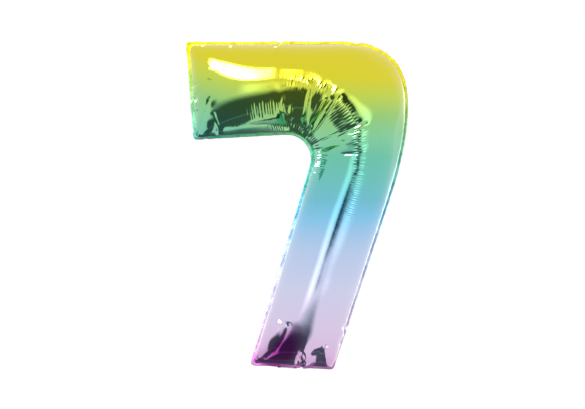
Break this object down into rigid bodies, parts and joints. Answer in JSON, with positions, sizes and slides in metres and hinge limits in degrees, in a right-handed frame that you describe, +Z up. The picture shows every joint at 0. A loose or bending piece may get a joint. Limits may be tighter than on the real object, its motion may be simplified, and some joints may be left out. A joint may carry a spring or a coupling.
{
  "type": "foil number balloon",
  "caption": "Inflated foil balloon in the shape of the digit seven: front and back films welded at a flat flange, with a folded filling tail and a self-sealing valve.",
  "frame": {"origin": "middle of the tail's root, on the lower edge of the foot seam, in the plane of the seam", "axes": "+Z up the digit, +X to the right seen from the front, -Y the way the front faces"},
  "size_m": [0.585, 0.252, 0.8547],
  "materials": {
    "film": "metallised film printed with a pastel rainbow that runs from yellow through green and blue to lilac",
    "seam": "heat-welded polyethylene",
    "valve_film": "clear to milky polyethylene film",
    "release_ink": "heat-proof print"
  },
  "bodies": {
    "balloon": {"front_panel": "film", "back_panel": "film", "seam_weld": "seam", "valve_throat_front": "valve_film", "valve_throat_back": "valve_film", "release_ink": "release_ink", "tail_crease": "film"},
    "tail": {"tail_front_ply": "film", "tail_back_ply": "film", "tail_side_welds": "seam", "valve_mouth_front": "valve_film", "valve_mouth_back": "valve_film"},
    "valve_sleeve": {"sleeve_front_ply": "valve_film", "sleeve_back_ply": "valve_film", "sleeve_edge_welds": "valve_film"}
  },
  "joints": [
    {"name": "tail_fold", "type": "hinge", "parent": "balloon", "child": "tail", "pos_m": [0, 0.002, 0], "axis": [-0.9984, 0, 0.0558], "range_deg": [0, 120], "deforming": ["tail_crease"]},
    {"name": "valve_swing", "type": "hinge", "parent": "balloon", "child": "valve_sleeve", "pos_m": [0.00039, 0, 0.00699], "axis": [0.9984, 0, -0.0558], "range_deg": [-25, 25]}
  ]
}
